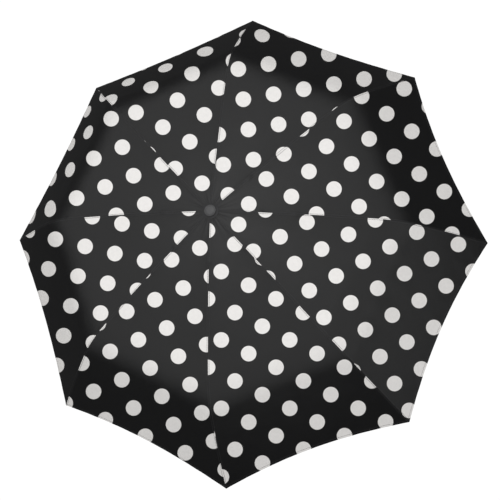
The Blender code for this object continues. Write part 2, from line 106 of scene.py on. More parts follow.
# the print: round dots on a square repeat, laid flat on the canopy as seen from one point
PRINT_REPEAT = 0.03473  # tangent of the angle that one repeat takes at the print point
DOT_SHARE = 0.2525  # dot radius as a share of the repeat
DOT_EDGE = 0.006  # half the soft edge of a dot, as a share of the repeat
PRINT_STRETCH = 2.4  # the most that the repeat is drawn out on the steep far side
STRETCH_START = 0.2  # arc length, well inside the shoulder
GORE_PRINT = (  # how each gore was cut from the cloth: turn in degrees, then where the repeat starts
    (80.5, 0.41, 0.67), (35, 0.09, 0.90), (61.5, 0.16, 0.60), (26.5, 0.79, 0.38),
    (67.5, 0, 0.22), (13.5, 0.70, 0.91), (68.5, 0.98, 0.09), (28.5, 0.66, 0.66))

VIEW_AZIMUTH = math.radians(45.75)
VIEW_ELEVATION = math.radians(72.8)
VIEW_ROLL = math.radians(-43.96)
VIEW_PLACE = Vector((0.822, -0.7944, 3.501))  # from the rim's centre, in canopy radii
LENS = 63.45
LENS_SHIFT = (-0.0009, 0.0012)

FLOOR_LEVEL = -1.1
FLOOR_HALF = 30.0
BACKDROP_BRIGHTNESS = 1.05
DOME_BRIGHTNESS = 0.87
HORIZON_FADE = (0.02, 0.3)  # sine of the elevation where the dome starts and where it is full
OVERHEAD_POWER = 30
SIDE_POWER = 8
UNDER_POWER = 25

JOINTS = {joint["name"]: joint for joint in frame["joints"]}


# ---------------------------------------------------------------- canopy geometry

def slope_at(arc):
    """Slope of the canopy line in radians."""
    marks = np.array(SLOPE_MARKS)
    return np.radians(np.interp(arc, marks[:, 0], marks[:, 1]))


def make_line(steps=2000):
    """Arc lengths with the radius and the height of the canopy line below the apex."""
    arcs = np.linspace(0, ARC_LENGTH, steps + 1)
    middle = slope_at((arcs[1:] + arcs[:-1]) / 2)
    step = ARC_LENGTH / steps
    radius = np.concatenate([[0], np.cumsum(np.cos(middle)) * step])
    height = -np.concatenate([[0], np.cumsum(np.sin(middle)) * step])
    return arcs, radius, height


LINE = make_line()


def line_radius(arc):
    """Distance of the canopy line from the shaft's middle."""
    return np.interp(arc, LINE[0], LINE[1])


def line_height(arc):
    """Height of the canopy line from the apex, which is negative."""
    return np.interp(arc, LINE[0], LINE[2])


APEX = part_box("gore_1")[1].z - float(line_height(CANOPY_HOLE))
RIM_RADIUS = float(line_radius(ARC_LENGTH))
RIM_HEIGHT = APEX + float(line_height(ARC_LENGTH))
RIM_HALF_CHORD = RIM_RADIUS * math.sin(HALF_GORE)


def azimuth_of(number):
    """Direction of a rib; 1 is +Y, and the count runs clockwise seen from above."""
    return math.pi / 2 - RIB_STEP * (number - 1)


def hem_arc(across):
    """Arc length at which a gore ends; the hem is hollowed between two tips."""
    return ARC_LENGTH - HEM_RISE * (1 - across * across)


def joint_press(arc, from_seam):
    """Small swellings where the rib joints press on the cloth from below."""
    swell = 0
    for place in (0.6 * JOINT_A, JOINT_A, JOINT_B):
        away = ((arc - place) / (5 * MM)) ** 2
        swell = swell + JOINT_SWELL * np.exp(-away - (from_seam / (4 * MM)) ** 2)
    return swell


def creases(arc, across):
    """Faint pulls in the cloth: round the crown, over the shoulder and towards each tip."""
    crown = CROWN_CREASE * np.exp(-(arc / (60 * MM)) ** 2) * np.cos(9 * across)
    over = SHOULDER_CREASE * np.exp(-((arc - SHOULDER) / (70 * MM)) ** 2) * np.cos(16 * across)
    over = over * (1 - across ** 4)
    to_tip = ARC_LENGTH - arc
    seam = (1 - np.abs(across)) * RIM_HALF_CHORD
    tip = TIP_CREASE * np.exp(-(to_tip / (75 * MM)) ** 2) * np.sin((seam + 0.35 * to_tip) * 150)
    tip = tip * np.exp(-seam / (60 * MM)) * (1 - np.exp(-seam / (12 * MM)))
    return crown + over + tip


def gore_point(arc, across):
    """Points of a gore's outer face with its middle on +X; across runs from -1 to 1."""
    radius, height, slope = line_radius(arc), line_height(arc), slope_at(arc)
    hollow = 1 - across * across
    from_seam = (1 - np.abs(across)) * radius * math.sin(HALF_GORE)
    sag = PANEL_SAG * hollow * np.sin(math.pi * arc / ARC_LENGTH)
    sag = sag + 0.2 * MM - joint_press(arc, from_seam) + creases(arc, across) * hollow
    x = radius * math.cos(HALF_GORE) - sag * np.sin(slope)
    y = across * radius * math.sin(HALF_GORE)
    z = APEX + height - sag * np.cos(slope)
    return np.stack([x, y, z], -1)


def gore_normal(arc, across):
    """Outward normals of a gore's outer face."""
    step = 0.5 * MM
    lean = 0.004
    along = gore_point(arc + step, across) - gore_point(arc - step, across)
    over = gore_point(arc, across + lean) - gore_point(arc, across - lean)
    normal = np.cross(along, over)
    return normal / np.linalg.norm(normal, axis=-1, keepdims=True)


def cut_arc(joint_arc, inset):
    """Arc length of the cut that leaves a rib at right angles; inset is 0 at the rib, 1 mid-gore."""
    arc = joint_arc + 0 * inset
    settle_steps = 12
    for _ in range(settle_steps):
        lean = math.sin(HALF_GORE) ** 2 * line_radius(arc) * np.cos(slope_at(arc))
        arc = joint_arc + lean * inset
    return arc


def turn_z(points, angle):
    """Points turned about the shaft."""
    c, s = math.cos(angle), math.sin(angle)
    return points @ np.array([[c, s, 0], [-s, c, 0], [0, 0, 1]])


# ---------------------------------------------------------------- print layout

def print_frame():
    """The point that the print is laid out from, and its right, up and back directions.

    The camera stands at the same point.
    """
    place = VIEW_PLACE * RIM_RADIUS + Vector((0, 0, RIM_HEIGHT))
    back = Vector((math.sin(VIEW_AZIMUTH) * math.cos(VIEW_ELEVATION),
                   -math.cos(VIEW_AZIMUTH) * math.cos(VIEW_ELEVATION), math.sin(VIEW_ELEVATION)))
    level = Vector((-back.y, back.x, 0)).normalized()
    right = Matrix.Rotation(VIEW_ROLL, 3, back) @ level
    return place, right, back.cross(right), back


def flat_print(points):
    """Where points fall on the flat print, in repeats from the apex."""
    place, right, up, back = (np.array(v) for v in print_frame())
    apex = np.array([0, 0, APEX])

    def project(p):
        offset = p - place
        depth = -(offset @ back)
        return np.stack([offset @ right / depth, offset @ up / depth], -1)
    return (project(points) - project(apex)) / PRINT_REPEAT


def print_shift(across, middle):
    """Extra run of the print down one line of a gore, where the skirt lies too steep for it."""
    arcs = np.linspace(STRETCH_START, ARC_LENGTH, 80)
    flat = flat_print(turn_z(gore_point(arcs, across + 0 * arcs), middle))
    steps = np.diff(flat, axis=0)
    length = np.linalg.norm(steps, axis=1)
    level_rate = 1 / (PRINT_REPEAT * VIEW_PLACE.length * RIM_RADIUS)
    short = np.maximum(level_rate / PRINT_STRETCH * np.diff(arcs) - length, 0)
    shift = np.cumsum(steps * (short / length)[:, None], axis=0)
    return arcs, np.concatenate([[[0, 0]], shift])


def dot_places(gore, arc, across, points, middle):
    """Print positions over a panel's grid of points: dots lie at whole numbers."""
    flat = flat_print(points).reshape(*arc.shape, 2)
    for column in range(arc.shape[1]):
        arcs, shift = print_shift(across[0, column], middle)
        for axis in (0, 1):
            flat[:, column, axis] += np.interp(arc[:, column], arcs, shift[:, axis])
    turn, first, second = GORE_PRINT[gore - 1]
    c, s = math.cos(math.radians(turn)), math.sin(math.radians(turn))
    x, y = flat[..., 0].ravel(), -flat[..., 1].ravel()
    return np.stack([x * c + y * s + first, -x * s + y * c + second], -1)


# ---------------------------------------------------------------- shader helpers

class Shader:
    """A material's node tree with short calls."""

    def __init__(self, name):
        self.material = bpy.data.materials.new(name)
        self.material.use_nodes = True
        self.tree = self.material.node_tree
        self.surface = self.tree.nodes["Principled BSDF"]

    def add(self, kind, **settings):
        """A new node with its settings."""
        made = self.tree.nodes.new(kind)
        for key, value in settings.items():
            setattr(made, key, value)
        return made

    def put(self, target, value):
        """Set a socket to a number or colour, or link it to another socket."""
        if isinstance(value, bpy.types.NodeSocket):
            self.tree.links.new(value, target)
        elif isinstance(value, (tuple, list)) and len(value) == 3 and len(target.default_value) == 4:
            target.default_value = (*value, 1)
        else:
            target.default_value = value

    def math(self, operation, *values):
        """One step of arithmetic."""
        made = self.add("ShaderNodeMath", operation=operation)
        for socket, value in zip(made.inputs, values):
            self.put(socket, value)
        return made.outputs[0]

    def ramp(self, value, low, high, start=0.0, end=1.0):
        """Smooth change from one value to another."""
        made = self.add("ShaderNodeMapRange", interpolation_type="SMOOTHSTEP")
        for key, setting in zip(("Value", "From Min", "From Max", "To Min", "To Max"),
                                (value, low, high, start, end)):
            self.put(made.inputs[key], setting)
        return made.outputs[0]

    def mix(self, factor, one, two):
        """A colour between two others."""
        made = self.add("ShaderNodeMix", data_type="RGBA")
        self.put(made.inputs["Factor"], factor)
        self.put(made.inputs[6], one)
        self.put(made.inputs[7], two)
        return made.outputs[2]

    def noise(self, scale, detail=3.0, vector=None):
        """Patchy values from 0 to 1; scale is in patches per metre."""
        made = self.add("ShaderNodeTexNoise")
        made.inputs["Scale"].default_value = scale
        made.inputs["Detail"].default_value = detail
        self.put(made.inputs["Vector"], vector or self.place())
        return made.outputs["Fac"]

    def place(self):
        return self.add("ShaderNodeTexCoord").outputs["Object"]

    def uv(self, name):
        return self.add("ShaderNodeUVMap", uv_map=name).outputs[0]

    def parts(self, vector):
        made = self.add("ShaderNodeSeparateXYZ")
        self.put(made.inputs[0], vector)
        return made.outputs

    def group(self, name, **values):
        """Outputs of a shared effect."""
        made = self.add("ShaderNodeGroup")
        made.node_tree = bpy.data.node_groups[name]
        for key, value in values.items():
            self.put(made.inputs[key.replace("_", " ")], value)
        return made.outputs

    def bump(self, height, distance, strength=1.0):
        made = self.add("ShaderNodeBump")
        made.inputs["Distance"].default_value = distance
        made.inputs["Strength"].default_value = strength
        self.put(made.inputs["Height"], height)
        self.put(self.surface.inputs["Normal"], made.outputs[0])

    def finish(self, **values):
        """Set or link the surface's own values, and hand over the material."""
        for key, value in values.items():
            self.put(self.surface.inputs[key.replace("_", " ")], value)
        return self.material


class Group(Shader):
    """A shared effect with named inputs and outputs."""

    def __init__(self, name, inputs, outputs):
        self.tree = bpy.data.node_groups.new(name, "ShaderNodeTree")
        for key, kind, value in inputs:
            socket = self.tree.interface.new_socket(key, in_out="INPUT", socket_type=kind)
            if value is not None:
                socket.default_value = value
        for key, kind in outputs:
            self.tree.interface.new_socket(key, in_out="OUTPUT", socket_type=kind)
        self.given = self.tree.nodes.new("NodeGroupInput").outputs
        self.result = self.tree.nodes.new("NodeGroupOutput").inputs


FLOAT, VECTOR = "NodeSocketFloat", "NodeSocketVector"


def make_weave_group():
    """Plain weave: height of the crossing threads, from a cloth position in metres."""
    g = Group("plain weave", [("Run", VECTOR, None), ("Thread", FLOAT, 0.0005)], [("Height", FLOAT)])
    x, y, _ = g.parts(g.given["Run"])
    turn = g.math("DIVIDE", math.pi, g.given["Thread"])
    warp = g.math("SINE", g.math("MULTIPLY", x, turn))
    weft = g.math("SINE", g.math("MULTIPLY", y, turn))
    g.put(g.result["Height"], g.math("MULTIPLY", warp, weft))


def make_stitch_group():
    """A row of stitches at a distance from an edge: where the thread lies."""
    g = Group("stitch row", [("Distance", FLOAT, 0), ("Along", FLOAT, 0), ("Row", FLOAT, SEAM_WIDTH),
                             ("Pitch", FLOAT, STITCH)], [("Thread", FLOAT)])
    off = g.math("ABSOLUTE", g.math("SUBTRACT", g.given["Distance"], g.given["Row"]))
    line = g.ramp(off, 0.00045, 0.0002)
    beat = g.math("FRACT", g.math("DIVIDE", g.given["Along"], g.given["Pitch"]))
    span = g.ramp(g.math("ABSOLUTE", g.math("SUBTRACT", beat, 0.5)), 0.42, 0.36)
    g.put(g.result["Thread"], g.math("MULTIPLY", line, span))


def make_dots_group():
    """Round dots at whole numbers of the print position, with a slightly soft edge."""
    g = Group("round dots", [("Print", VECTOR, None), ("Radius", FLOAT, DOT_SHARE)], [("Dot", FLOAT)])
    half = g.add("ShaderNodeVectorMath", operation="ADD")
    g.put(half.inputs[0], g.given["Print"])
    half.inputs[1].default_value = (0.5, 0.5, 0)
    cell = g.add("ShaderNodeVectorMath", operation="FRACTION")
    g.put(cell.inputs[0], half.outputs[0])
    centred = g.add("ShaderNodeVectorMath", operation="SUBTRACT")
    g.put(centred.inputs[0], cell.outputs[0])
    centred.inputs[1].default_value = (0.5, 0.5, 0)
    x, y, _ = g.parts(centred.outputs[0])
    reach = g.math("SQRT", g.math("ADD", g.math("MULTIPLY", x, x), g.math("MULTIPLY", y, y)))
    low = g.math("SUBTRACT", g.given["Radius"], DOT_EDGE)
    high = g.math("ADD", g.given["Radius"], DOT_EDGE)
    g.put(g.result["Dot"], g.ramp(reach, high, low))


def make_scuff_group():
    """Fine handling marks: a patchy value from 0 to 1 and a grain height."""
    g = Group("scuffs", [("Place", VECTOR, None), ("Patch", FLOAT, 60.0), ("Grain", FLOAT, 1500.0)],
              [("Marks", FLOAT), ("Height", FLOAT)])
    patch = g.add("ShaderNodeTexNoise")
    g.put(patch.inputs["Vector"], g.given["Place"])
    g.put(patch.inputs["Scale"], g.given["Patch"])
    patch.inputs["Detail"].default_value = 6
    grain = g.add("ShaderNodeTexNoise")
    g.put(grain.inputs["Vector"], g.given["Place"])
    g.put(grain.inputs["Scale"], g.given["Grain"])
    g.put(g.result["Marks"], g.ramp(patch.outputs["Fac"], 0.45, 0.7))
    g.put(g.result["Height"], grain.outputs["Fac"])


def cloth(name, black, dot, roughness):
    """Printed pongee: weave, dots, stitch rows along seam and hem, and faint slack in the cloth."""
    s = Shader(name)
    run, edge = s.uv("run"), s.uv("edge")
    along, across, _ = s.parts(run)
    seam, hem, _ = s.parts(edge)
    mask = s.group("round dots", Print=s.uv("print"))["Dot"]
    patch = s.noise(9, 4)
    ink = s.mix(s.ramp(patch, 0.3, 0.75), black, tuple(c * 1.18 for c in black))
    pale = s.mix(s.ramp(s.noise(160, 2), 0.35, 0.7), dot, tuple(c * 0.965 for c in dot))
    colour = s.mix(mask, ink, pale)
    seam_thread = s.group("stitch row", Distance=seam, Along=along)["Thread"]
    hem_thread = s.group("stitch row", Distance=hem, Along=across, Row=HEM_STITCH)["Thread"]
    thread = s.math("MAXIMUM", seam_thread, hem_thread)
    colour = s.mix(thread, colour, (0.03, 0.03, 0.032))
    weave = s.group("plain weave", Run=run)["Height"]
    slack = s.noise(22, 3)
    height = s.math("ADD", s.math("MULTIPLY", weave, 0.05), s.math("MULTIPLY", slack, 1.6))
    height = s.math("ADD", height, s.math("MULTIPLY", thread, 0.6))
    s.bump(height, 0.0004)
    rough = s.ramp(mask, 0, 1, roughness, roughness + 0.12)
    return s.finish(Base_Color=colour, Roughness=rough, Specular_IOR_Level=0.42)


def metal(name, colour, roughness, brushed=True):
    """Drawn or plated steel with fine drawing lines and handling marks."""
    s = Shader(name)
    marks = s.group("scuffs", Place=s.place(), Patch=70.0, Grain=900.0)
    stretched = s.add("ShaderNodeMapping")
    s.put(stretched.inputs["Vector"], s.place())
    stretched.inputs["Scale"].default_value = (1, 1, 0.03) if brushed else (1, 1, 1)
    lines = s.noise(2500, 2, stretched.outputs[0])
    s.bump(s.math("ADD", s.math("MULTIPLY", lines, 0.5), marks["Height"]), 0.00001)
    tint = s.mix(marks["Marks"], colour, tuple(c * 0.94 for c in colour))
    rough = s.ramp(s.math("ADD", marks["Marks"], s.math("MULTIPLY", lines, 0.4)), 0, 1.4, roughness,
                   roughness + 0.1)
    return s.finish(Base_Color=tint, Roughness=rough, Metallic=1.0)


def moulded(name, colour, roughness, grain=1300.0, depth=0.00003):
    """Moulded plastic or rubber with a fine grain and slightly shiny handled patches."""
    s = Shader(name)
    marks = s.group("scuffs", Place=s.place(), Patch=45.0, Grain=grain)
    s.bump(marks["Height"], depth)
    tint = s.mix(marks["Marks"], colour, tuple(c * 1.25 for c in colour))
    rough = s.ramp(marks["Marks"], 0, 1, roughness, roughness - 0.1)
    return s.finish(Base_Color=tint, Roughness=rough)


def webbing(name, colour):
    """Narrow woven tape."""
    s = Shader(name)
    run = s.uv("run")
    weave = s.group("plain weave", Run=run, Thread=0.0008)["Height"]
    s.bump(weave, 0.0001)
    tint = s.mix(s.ramp(weave, -1, 1), colour, tuple(c * 1.5 for c in colour))
    return s.finish(Base_Color=tint, Roughness=0.75)


for make in (make_weave_group, make_stitch_group, make_dots_group, make_scuff_group):
    make()

CLOTH_FACE = cloth("printed_cloth", (0.0026, 0.0026, 0.0029), (0.86, 0.84, 0.82), 0.36)
CLOTH_BACK = cloth("cloth_back", (0.016, 0.016, 0.017), (0.2, 0.195, 0.19), 0.65)
PLAIN_CLOTH = moulded("plain_black_cloth", (0.012, 0.012, 0.013), 0.72, 2200.0, 0.00006)
STRAP_TAPE = webbing("strap_tape", (0.012, 0.012, 0.013))
THREAD = moulded("black_thread", (0.015, 0.015, 0.016), 0.8, 3000.0, 0.00005)
BRIGHT_STEEL = metal("satin_steel", (0.74, 0.74, 0.75), 0.34)
RIB_STEEL = metal("nickel_ribs", (0.24, 0.24, 0.25), 0.36, brushed=False)
WIRE_STEEL = metal("plain_wire", (0.45, 0.45, 0.46), 0.28, brushed=False)
SOFT_BLACK = moulded("soft_touch_black", (0.017, 0.017, 0.018), 0.58, 1500.0, 0.00005)
DARK_PLASTIC = moulded("dark_grey_plastic", (0.035, 0.035, 0.037), 0.42)
CAP_PLASTIC = moulded("cap_plastic", (0.05, 0.05, 0.052), 0.5, 1000.0)


# ---------------------------------------------------------------- mesh helpers

def as_piece(name, mesh, material, angle=35):
    """Put a mesh in the scene, smooth where its faces meet softly."""
    mesh.materials.append(material)
    mesh.shade_smooth()
    mesh.set_sharp_from_angle(angle=math.radians(angle))
    piece = bpy.data.objects.new(name, mesh)
    bpy.context.scene.collection.objects.link(piece)
    return piece


def turned(name, profile, material, segments=64):
    """A turned piece from a closed profile of radius and height."""
    bm = bmesh.new()
    rings = []
    for radius, height in profile:
        count = 1 if radius == 0 else segments
        angles = (2 * math.pi * i / segments for i in range(count))
        rings.append([bm.verts.new((radius * math.cos(a), radius * math.sin(a), height)) for a in angles])
    for one, two in zip(rings, rings[1:] + rings[:1]):
        if len(one) == 1 and len(two) == 1:
            continue
        for i in range(segments):
            j = (i + 1) % segments
            corners = [one[0]] if len(one) == 1 else [one[i], one[j]]
            corners += [two[0]] if len(two) == 1 else [two[j], two[i]]
            bm.faces.new(corners)
    bmesh.ops.recalc_face_normals(bm, faces=bm.faces)
    mesh = bpy.data.meshes.new(name)
    bm.to_mesh(mesh)
    bm.free()
    return as_piece(name, mesh, material)


def stand_on(piece, place, way):
    """Move a turned piece to a place, with its own height along a direction."""
    turn = way.to_track_quat("Z", "Y").to_matrix().to_4x4()
    piece.matrix_world = Matrix.Translation(place) @ turn


def wire(name, points, radius, material, closed=False):
    """A bent round wire."""
    curve = bpy.data.curves.new(name, "CURVE")
    curve.dimensions = "3D"
    curve.bevel_depth = radius
    curve.bevel_resolution = 3
    curve.use_fill_caps = True
    spline = curve.splines.new("POLY")
    spline.points.add(len(points) - 1)
    for target, point in zip(spline.points, points):
        target.co = (*point, 1)
    spline.use_cyclic_u = closed
    curve.materials.append(material)
    piece = bpy.data.objects.new(name, curve)
    bpy.context.scene.collection.objects.link(piece)
    return piece


def rib_frame(number):
    """Outward and tangential directions of a rib."""
    azimuth = azimuth_of(number)
    return (Vector((math.cos(azimuth), math.sin(azimuth), 0)),
            Vector((-math.sin(azimuth), math.cos(azimuth), 0)))


def rib_spot(number, arc, depth, side=0.0):
    """A point under the canopy line of a rib: depth below the line and distance to one side."""
    out, across = rib_frame(number)
    slope = float(slope_at(arc))
    radius = float(line_radius(arc)) - depth * math.sin(slope)
    height = APEX + float(line_height(arc)) - depth * math.cos(slope)
    return out * radius + across * side + Vector((0, 0, height))


# ---------------------------------------------------------------- canopy

GATHER_PLACE = 0.48  # arc length on the outer rib taken as the outer sections' gather point
SHAFT_CLEARANCE = 12 * MM  # lift of the middle sections' gather direction, away from the shaft
RIB_CLEARANCE = 3.2 * MM  # how far the inner and middle sections' gather point is moved off the rib, to clear the ribs between the cloth's layers
SECTIONS = (  # name, joint arcs where it starts and ends, and how closely it gathers when folded
    ("inner", CLOTH_START, JOINT_A, 0.05),
    ("middle", JOINT_A, JOINT_B, 0.05),
    ("outer", JOINT_B, None, 0.075))


def panel_grid(start, end, side):
    """Arc lengths and across values of a half gore's grid between two cuts, finer at seam and hem."""
    inset = np.linspace(0, 1, COLUMNS + 1) ** 1.15
    across = side * (1 - inset)
    first = cut_arc(start, inset)
    last = hem_arc(across) if end is None else cut_arc(end, inset)
    rows = max(8, round(float((last - first).max()) / ROW_STEP))
    share = np.linspace(0, 1, rows + 1)[:, None]
    if end is None:
        share = share ** 0.9
    arc = first[None, :] + (last - first)[None, :] * share
    return arc, np.broadcast_to(across, arc.shape)


def panel_mesh(name, gore, start, end, side):
    """Closed thin shell of one panel with its print, run and edge coordinates."""
    middle = azimuth_of(gore) - HALF_GORE
    arc, across = panel_grid(start, end, side)
    rows, columns = arc.shape
    seam = (1 - np.abs(across)) * line_radius(arc) * math.sin(HALF_GORE)
    hem = hem_arc(across) - arc
    fold = HEM_FOLD * (hem < HEM_WIDTH) + SEAM_FOLD * np.clip(1 - seam / SEAM_WIDTH, 0, 1)
    normal = gore_normal(arc, across)
    face = gore_point(arc, across) + normal * (0.5 * fold)[..., None]
    back = gore_point(arc, across) - normal * (CLOTH_THICKNESS + 0.5 * fold)[..., None]
    points = np.concatenate([face.reshape(-1, 3), back.reshape(-1, 3)])
    normals = np.concatenate([normal.reshape(-1, 3), -normal.reshape(-1, 3)])
    count = rows * columns
    number = np.arange(count).reshape(rows, columns)
    quads = np.stack([number[:-1, :-1], number[1:, :-1], number[1:, 1:], number[:-1, 1:]], -1)
    quads = quads.reshape(-1, 4)
    if side > 0:
        quads = quads[:, ::-1]
    rim = np.concatenate([number[0, :-1], number[:-1, -1], number[-1, :0:-1], number[:0:-1, 0]])
    after = np.roll(rim, -1)
    walls = np.stack([rim, after, after + count, rim + count], -1)
    if side < 0:
        walls = walls[:, ::-1]
    faces = np.concatenate([quads, quads[:, ::-1] + count, walls])
    mesh = bpy.data.meshes.new(name)
    mesh.from_pydata(turn_z(points, middle).tolist(), [], faces.tolist())
    mesh.polygons.foreach_set("material_index", [0] * len(quads) + [1] * len(quads) + [0] * len(walls))
    arcs = np.tile(arc.ravel(), 2)
    corner = np.empty(len(mesh.loops), int)
    mesh.loops.foreach_get("vertex_index", corner)
    width = np.tile((np.abs(across) * line_radius(arc) * math.sin(HALF_GORE)).ravel(), 2)
    dots = dot_places(gore, arc, across, turn_z(face.reshape(-1, 3), middle), middle)
    layers = {"print": np.tile(dots, (2, 1)),
              "run": np.stack([arcs, width], -1),
              "edge": np.stack([np.tile(seam.ravel(), 2), np.tile(hem.ravel(), 2)], -1)}
    for layer, values in layers.items():
        uv = mesh.uv_layers.new(name=layer)
        uv.data.foreach_set("uv", values[corner].ravel())
    mesh.normals_split_custom_set_from_vertices(turn_z(normals, middle).tolist())
    area = float(sum(p.area for p in mesh.polygons[:len(quads)]))
    return mesh, area, float(np.ptp(width) + 2 * MM), float(np.ptp(arcs) + 2 * MM)


def gather_axis(gore, side, place, lift):
    """Direction from a rib to the middle of the gore, lifted at the middle by the given height."""
    middle = azimuth_of(gore) - HALF_GORE
    far = gore_point(cut_arc(place, np.array([1.0])), np.array([0.0])) + [0, 0, lift]
    near = gore_point(np.array([place]), np.array([1.0 * side]))
    return Vector(turn_z(far - near, middle)[0]).normalized()


def make_panel(gore, side, section, start, end):
    """One panel of a gore, on the rib section that carries it."""
    rib = gore if side > 0 else gore % RIBS + 1
    hand = "left" if side > 0 else "right"
    name = f"gore_{gore}_{section}_{hand}"
    mesh, area, width, length = panel_mesh(name, gore, start, end, side)
    mesh.materials.append(CLOTH_FACE)
    mesh.materials.append(CLOTH_BACK)
    piece = bpy.data.objects.new(name, mesh)
    bpy.context.scene.collection.objects.link(piece)
    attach(piece, f"{section}_rib_{rib}")
    place = GATHER_PLACE if end is None else end
    axis = gather_axis(gore, side, place, SHAFT_CLEARANCE if section == "middle" else 0)
    anchor = rib_spot(rib, place, 0)
    if section != "outer":
        anchor += axis * RIB_CLEARANCE
    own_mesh(piece)
    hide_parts(f"gore_{gore}")


def make_canopy():
    """Eight gores, each in two halves of three sections."""
    for gore in range(1, RIBS + 1):
        for side in (1, -1):
            for section, start, end, keep in SECTIONS:
                make_panel(gore, side, section, start, end)


# ---------------------------------------------------------------- hardware

def make_crown_dressing():
    """Cloth rosette under the cap, and the cap with its rolled edge."""
    foot = APEX + 0.15 * MM
    profile = [(3 * MM, foot), (13 * MM, foot - 1.4 * MM), (14.5 * MM, foot - 1.5 * MM),
               (14.8 * MM, foot - 1.2 * MM), (13 * MM, foot - 0.8 * MM), (3 * MM, foot + 0.35 * MM)]
    rosette = turned("crown_rosette", profile, PLAIN_CLOTH, 72)
    low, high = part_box("top_cap")
    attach(rosette, "upper_shaft")
    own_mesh(rosette)
    rim = high.x
    top = high.z
    roll = 0.9 * MM
    outline = [(CAP_BORE, low.z), (rim - 0.8 * MM, low.z)]
    steps = 6
    for step in range(steps + 1):
        angle = math.radians(-60 + 150 * step / steps)
        radius = rim - roll + roll * math.cos(angle)
        outline.append((radius, low.z + 1 * MM + roll * math.sin(angle)))
    outline += [(rim - 1.6 * MM, low.z + 1.7 * MM), (rim - 2.1 * MM, top - 0.7 * MM),
                (rim - 3 * MM, top - 0.3 * MM), (rim - 6 * MM, top - 0.05 * MM),
                (0, top), (0, top - 1 * MM), (CAP_BORE, top - 1 * MM)]
    cap = turned("top_cap_shell", outline, CAP_PLASTIC, 96)
    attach(cap, "upper_shaft")
    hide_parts("top_cap")


def make_tip(number):
    """Plastic cap on a rib's end, with the thread that sews the gores to it."""
    end = rib_spot(number, ARC_LENGTH - 5 * MM, OUTER_RIB_DEPTH)
    way = (end - rib_spot(number, ARC_LENGTH - 25 * MM, OUTER_RIB_DEPTH)).normalized()
    profile = [(1.15 * MM, 0), (1.7 * MM, 0), (1.75 * MM, 1 * MM), (1.75 * MM, 9 * MM), (2.1 * MM, 10 * MM),
               (2.1 * MM, 11 * MM), (1.7 * MM, 12 * MM), (1.15 * MM, 12 * MM)]
    cap = turned(f"tip_sleeve_{number}", profile, DARK_PLASTIC, 24)
    start = rib_spot(number, ARC_LENGTH - SLEEVE_START, OUTER_RIB_DEPTH)
    stand_on(cap, start, way)
    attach(cap, f"outer_rib_{number}")
    side = way.cross(Vector((0, 0, 1))).normalized()
    up = side.cross(way)
    centre = start + way * 10.5 * MM + up * 0.7 * MM
    steps = 24
    loop = []
    for step in range(steps):
        angle = 2 * math.pi * step / steps
        loop.append(centre + side * 2.5 * MM * math.cos(angle) + up * 2.9 * MM * math.sin(angle)
                    + way * 0.4 * MM * math.sin(3 * angle))
    stitch = wire(f"tip_stitch_{number}", loop, 0.25 * MM, THREAD, closed=True)
    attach(stitch, f"outer_rib_{number}")


def make_rivet(name, body, pivot, number, reach, radius):
    """A rivet through a joint: two domed heads, each at a reach from the middle of the rib."""
    _, across = rib_frame(number)
    dome = RIVET_DOME
    shank = 0.45 * radius
    profile = [(0, -reach - dome), (0.6 * radius, -reach - 0.8 * dome), (radius, -reach - 0.05 * MM),
               (radius, -reach + 0.1 * MM), (shank, -reach + 0.1 * MM), (shank, reach - 0.1 * MM),
               (radius, reach - 0.1 * MM), (radius, reach + 0.05 * MM),
               (0.6 * radius, reach + 0.8 * dome), (0, reach + dome)]
    rivet = turned(name, profile, WIRE_STEEL, 16)
    stand_on(rivet, pivot, across)
    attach(rivet, body)


def stretcher_top(number):
    """Middle of the pivot between a stretcher's fork and its inner rib."""
    crown = Vector(JOINTS[f"inner_rib_{number}_hinge"]["pos_m"])
    joint = Vector(JOINTS[f"middle_rib_{number}_hinge"]["pos_m"])
    line = (joint - Vector((0, 0, JOINT_DROP)) - crown).normalized()
    return crown + line * FORK_REACH


def make_rivets():
    """Three rivets on each rib: at its two joints and at the stretcher's fork."""
    for number in range(1, RIBS + 1):
        joint_a = Vector(JOINTS[f"middle_rib_{number}_hinge"]["pos_m"])
        joint_b = Vector(JOINTS[f"outer_rib_{number}_hinge"]["pos_m"])
        fork = stretcher_top(number)
        make_rivet(f"rivet_a_{number}", f"inner_rib_{number}", joint_a, number, 1.5 * MM, 0.85 * MM)
        make_rivet(f"rivet_b_{number}", f"middle_rib_{number}", joint_b, number, 1.5 * MM, 0.85 * MM)
        make_rivet(f"rivet_fork_{number}", f"stretcher_{number}", fork, number, 2.3 * MM, 1 * MM)


def make_control_wire(number):
    """Thin wire under the middle rib that draws the outer rib in, bent up at each end."""
    bends = ((6, 4.3), (10, 5.3), (22, 5.5))  # from the joint, and below the canopy line, in mm
    points = [rib_spot(number, JOINT_A + along * MM, depth * MM) for along, depth in bends]
    points += [rib_spot(number, JOINT_B - along * MM, depth * MM) for along, depth in reversed(bends)]
    rod = wire(f"control_wire_{number}", points, 0.4 * MM, WIRE_STEEL)
    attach(rod, f"middle_rib_{number}")


def make_cloth_ties(number):
    """Loops of thread that hold the seam to the ribs."""
    ties = ((0.055, "inner", 1.75), (0.225, "middle", 1.75), (0.40, "outer", 1.3), (0.48, "outer", 1.3))
    for place, section, radius in ties:
        centre = rib_spot(number, place, TIE_DEPTH)
        way = (rib_spot(number, place + 5 * MM, TIE_DEPTH) - centre).normalized()
        _, side = rib_frame(number)
        up = way.cross(side)
        reach = radius * MM
        steps = 36
        loop = []
        for step in range(steps):
            angle = 4 * math.pi * step / steps
            loop.append(centre + side * reach * math.cos(angle) + up * 2 * MM * math.sin(angle)
                        + way * 0.5 * MM * math.sin(angle / 2))
        tie = wire(f"tie_{section}_{round(place * 1000)}_{number}", loop, 0.22 * MM, THREAD, closed=True)
        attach(tie, f"{section}_rib_{number}")


